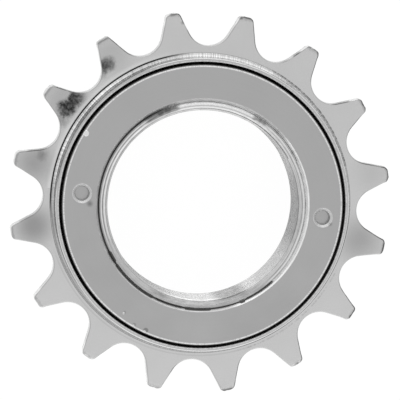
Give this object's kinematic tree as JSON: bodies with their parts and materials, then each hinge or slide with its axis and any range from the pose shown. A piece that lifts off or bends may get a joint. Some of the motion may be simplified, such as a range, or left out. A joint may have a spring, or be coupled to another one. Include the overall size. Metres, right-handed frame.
{
  "type": "single speed freewheel",
  "caption": "Toothed outer ring that turns one way on a threaded core, over two ball rows, with two sprung pawls and a flat lock ring.",
  "frame": {"origin": "on the axis, in the plane of the face that meets the hub", "axes": "+Z along the axis, out of the hub through the lock ring; the lock ring's two pin holes lie on the X axis"},
  "size_m": [0.0688, 0.0688, 0.015],
  "materials": {
    "plated_sprocket": "bright nickel plate over steel",
    "plated_core": "bright nickel plate over steel",
    "plated_ring": "satin nickel plate over steel",
    "bearing_steel": "polished steel",
    "shim_steel": "rolled steel",
    "pawl_steel": "hardened steel",
    "spring_steel": "spring steel"
  },
  "bodies": {
    "core_body": {"core": "plated_core", "lock_ring": "plated_ring", "shim_thin": "shim_steel", "shim_middle": "shim_steel", "shim_thick": "shim_steel", "pawl_spring_a": "spring_steel", "pawl_spring_b": "spring_steel"},
    "outer_body": {"sprocket_body": "plated_sprocket"},
    "front_row": {"front_balls": "bearing_steel"},
    "rear_row": {"rear_balls": "bearing_steel"},
    "pawl_body_a": {"pawl_a": "pawl_steel"},
    "pawl_body_b": {"pawl_b": "pawl_steel"}
  },
  "joints": [
    {"name": "sprocket_spin", "type": "hinge", "parent": "core_body", "child": "outer_body", "pos_m": [0, 0, 0.009], "axis": [0, 0, 1], "continuous": true},
    {"name": "front_row_spin", "type": "hinge", "parent": "core_body", "child": "front_row", "pos_m": [0, 0, 0.01147], "axis": [0, 0, 1], "continuous": true},
    {"name": "rear_row_spin", "type": "hinge", "parent": "core_body", "child": "rear_row", "pos_m": [0, 0, 0.00353], "axis": [0, 0, 1], "continuous": true},
    {"name": "pawl_a_pivot", "type": "hinge", "parent": "core_body", "child": "pawl_body_a", "pos_m": [0.00541, 0.02019, 0.0076], "axis": [0, 0, -1], "range_deg": [0, 10], "stiffness_Nm_per_rad": 0.01, "springref_deg": 26.93, "deforming": ["pawl_spring_a"]},
    {"name": "pawl_b_pivot", "type": "hinge", "parent": "core_body", "child": "pawl_body_b", "pos_m": [-0.00541, -0.02019, 0.0076], "axis": [0, 0, -1], "range_deg": [0, 10], "stiffness_Nm_per_rad": 0.01, "springref_deg": 26.93, "deforming": ["pawl_spring_b"]}
  ],
  "couplings": [
    {"joint": "front_row_spin", "follows": "sprocket_spin", "ratio": 0.523},
    {"joint": "rear_row_spin", "follows": "sprocket_spin", "ratio": 0.523}
  ]
}
